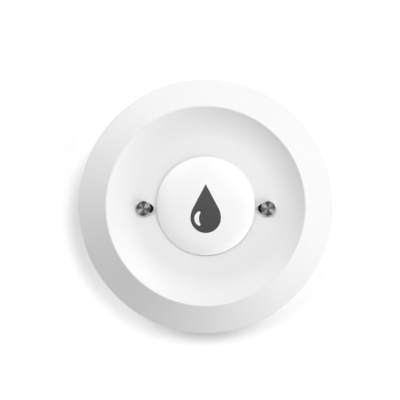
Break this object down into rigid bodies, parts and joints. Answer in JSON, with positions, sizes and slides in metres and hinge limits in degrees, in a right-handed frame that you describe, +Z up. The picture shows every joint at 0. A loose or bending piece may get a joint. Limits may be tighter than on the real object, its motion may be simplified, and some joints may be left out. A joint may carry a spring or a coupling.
{
  "type": "water leak sensor",
  "caption": "Round puck-shaped water leak sensor with a concave drip dish, two metal probes, a domed push button with a droplet mark and a battery door underneath.",
  "frame": {"origin": "on the case's axis at the level of the floor that the feet stand on", "axes": "+Z up out of the drip dish along the case's axis, +X to the right probe, +Y to the top of the droplet mark"},
  "size_m": [0.065, 0.065, 0.0168],
  "materials": {
    "white_abs": "fine satin moulded ABS",
    "base_abs": "fine spark-textured moulded ABS",
    "grey_abs": "satin two-shot inlay",
    "probe_steel": "turned stainless steel, circular lay on the end faces",
    "steel": "zinc-plated steel",
    "grey_rubber": "matt silicone rubber",
    "black_rubber": "matt EPDM rubber",
    "brass": "plain brass",
    "green_board": "glass-epoxy board with green resist",
    "black_plastic": "moulded nylon and resin",
    "lamp_resin": "clear-coated lamp resin",
    "white_ceramic": "fired ceramic",
    "tan_ceramic": "fired ceramic",
    "cell_can": "plated cell can"
  },
  "bodies": {
    "case": {"top_cover": "white_abs", "base_cover": "base_abs", "case_gasket": "grey_rubber", "case_screws": "steel", "foot_right": "grey_rubber", "foot_back": "grey_rubber", "foot_left": "grey_rubber", "foot_front": "grey_rubber", "left_probe": "probe_steel", "right_probe": "probe_steel", "left_bush": "black_rubber", "right_bush": "black_rubber", "probe_nuts": "brass", "left_grommet": "black_rubber", "right_grommet": "black_rubber", "left_eyelet": "brass", "right_eyelet": "brass", "circuit_board": "green_board", "board_screws": "steel", "switch_body": "black_plastic", "status_lamp": "lamp_resin", "radio_module": "green_board", "radio_shield": "steel", "chip_antenna": "white_ceramic", "sensing_chip": "black_plastic", "board_parts": "tan_ceramic", "battery_holder": "black_plastic", "coin_cell": "cell_can", "positive_clip": "brass", "negative_spring": "brass", "button_spring": "steel"},
    "button": {"button_cap": "white_abs", "droplet_mark": "grey_abs", "stem_seal": "black_rubber", "stem_clip": "steel"},
    "plunger": {"switch_plunger": "black_plastic"},
    "door": {"battery_door": "base_abs", "door_seal": "black_rubber"}
  },
  "joints": [
    {"name": "button_press", "type": "slide", "parent": "case", "child": "button", "axis": [0, 0, -1], "range_m": [0, 0.00025], "stiffness_N_per_m": 1000, "springref_m": -0.001, "deforming": ["button_spring"]},
    {"name": "switch_press", "type": "slide", "parent": "case", "child": "plunger", "axis": [0, 0, -1], "range_m": [0, 0.00025]},
    {"name": "door_turn", "type": "hinge", "parent": "case", "child": "door", "pos_m": [0, 0, 0.0018], "axis": [0, 0, -1], "range_deg": [0, 60]}
  ],
  "couplings": [
    {"joint": "switch_press", "follows": "button_press", "ratio": 1}
  ]
}
